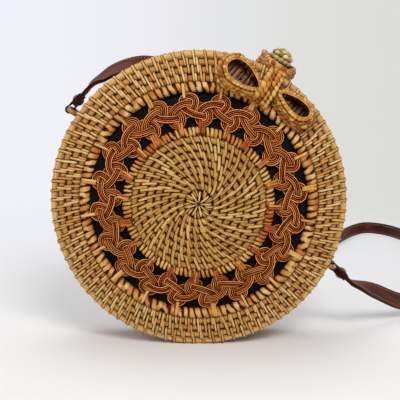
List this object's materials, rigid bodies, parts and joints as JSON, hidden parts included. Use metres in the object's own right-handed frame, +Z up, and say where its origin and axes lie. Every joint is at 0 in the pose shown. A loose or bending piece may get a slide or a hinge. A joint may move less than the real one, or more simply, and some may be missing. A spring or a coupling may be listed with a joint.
{
  "type": "round rattan shoulder bag",
  "caption": "Round shoulder bag of coiled rattan with an openwork braided ring on its hinged lid, a woven bow, a loop-and-ball clasp and a leather strap.",
  "frame": {"origin": "on the floor, midway between the two rims, where the round bag stands on its rims at the mouth", "axes": "+Z up, -Y out of the lid's face, +X to the right as one looks at the lid; the clasp lies 31 degrees right of the top"},
  "size_m": [0.3333, 0.4702, 0.202],
  "materials": {
    "coil": "satin, wound with split rattan",
    "rim_splint": "satin",
    "plait": "satin, red-brown",
    "medallion": "satin",
    "tie": "satin",
    "bow": "satin, golden orange",
    "ball": "satin, greenish beige",
    "lining": "matt",
    "strap": "satin, dark red-brown",
    "rivet": "aged"
  },
  "bodies": {
    "shell": {"rear_disc": "coil", "rear_wall": "coil", "rear_rim": "rim_splint", "rear_lining": "lining", "knob": "ball", "knob_stem": "ball", "hinge_tie_left": "tie", "hinge_tie_right": "tie", "strap_ring_left": "tie", "strap_ring_right": "tie", "ring_tie_left": "tie", "ring_tie_right": "tie", "strap_outer": "strap", "strap_inner": "strap", "strap_fold_left": "strap", "strap_fold_right": "strap", "strap_rivet_left": "rivet", "strap_rivet_right": "rivet"},
    "lid": {"lid_shell": "coil", "lid_rim": "rim_splint", "ring_border": "rim_splint", "plait": "plait", "outer_ties": "tie", "inner_ties": "tie", "medallion": "medallion", "medallion_border": "tie", "lid_lining": "lining", "bow_left_loop": "bow", "bow_right_loop": "bow", "bow_band": "bow"},
    "loop": {"closing_loop": "bow"}
  },
  "joints": [
    {"name": "lid_hinge", "type": "hinge", "parent": "shell", "child": "lid", "pos_m": [-0.05181, 0, 0.01377], "axis": [0.8572, 0, -0.515], "range_deg": [0, 100], "deforming": ["closing_loop", "hinge_tie_left", "hinge_tie_right"]},
    {"name": "loop_lift", "type": "hinge", "parent": "lid", "child": "loop", "pos_m": [0.05253, -0.024, 0.18743], "axis": [0.8572, 0, -0.515], "range_deg": [0, 70]}
  ]
}
